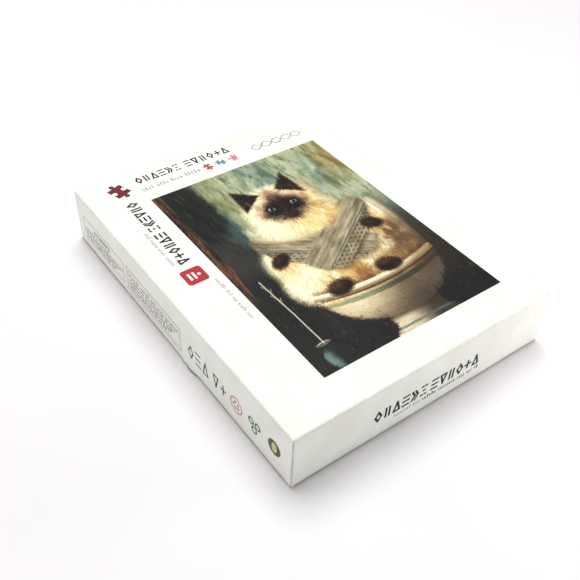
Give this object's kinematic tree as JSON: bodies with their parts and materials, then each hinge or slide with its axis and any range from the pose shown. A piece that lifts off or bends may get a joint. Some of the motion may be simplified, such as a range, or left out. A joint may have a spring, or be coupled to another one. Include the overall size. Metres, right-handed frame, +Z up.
{
  "type": "boxed jigsaw puzzle",
  "caption": "Flat rectangular puzzle box with a full-depth lift-off lid, a printed picture on top, a folded poster and a bag of loose wooden jigsaw pieces inside.",
  "frame": {"origin": "centre of the underside, where the box rests on a table", "axes": "+Z up; the long side runs along Y, the short side along X; the end with the large title faces -Y and the side with the small print faces -X"},
  "size_m": [0.21, 0.275, 0.045],
  "materials": {
    "printed_paper": "coated matt print",
    "white_paper": "uncoated",
    "greyboard": "rough grey recycled board",
    "kraft_tape": "kraft",
    "clear_film": "clear polyethylene film",
    "seal_plastic": "translucent",
    "wood": "laser-cut plywood, printed face"
  },
  "bodies": {
    "base": {"base_board": "greyboard", "base_corner_stays": "kraft_tape", "base_wrap": "white_paper", "bottom_sheet": "white_paper"},
    "lid": {"lid_board": "greyboard", "lid_corner_stays": "kraft_tape", "lid_wrap": "printed_paper"},
    "poster": {"picture_poster": "printed_paper"},
    "bag": {"piece_bag": "clear_film", "bag_press_seal": "seal_plastic", "puzzle_row_01": "wood", "puzzle_row_02": "wood", "puzzle_row_03": "wood", "puzzle_row_04": "wood", "puzzle_row_05": "wood", "puzzle_row_06": "wood", "puzzle_row_07": "wood", "puzzle_row_08": "wood", "puzzle_row_09": "wood", "puzzle_row_10": "wood", "puzzle_row_11": "wood", "puzzle_row_12": "wood", "puzzle_row_13": "wood", "puzzle_row_14": "wood", "puzzle_row_15": "wood", "puzzle_row_16": "wood", "puzzle_row_17": "wood", "puzzle_row_18": "wood", "puzzle_row_19": "wood", "puzzle_row_20": "wood"}
  },
  "joints": [
    {"name": "lid_lift", "type": "slide", "parent": "base", "child": "lid", "axis": [0, 0, 1], "range_m": [0, 0.15]},
    {"name": "poster_lift", "type": "slide", "parent": "base", "child": "poster", "axis": [0, 0, 1], "range_m": [0, 0.09]},
    {"name": "bag_lift", "type": "slide", "parent": "base", "child": "bag", "axis": [0, 0, 1], "range_m": [0, 0.06]}
  ],
  "couplings": [
    {"joint": "poster_lift", "follows": "lid_lift", "ratio": 0.6},
    {"joint": "bag_lift", "follows": "lid_lift", "ratio": 0.4}
  ]
}
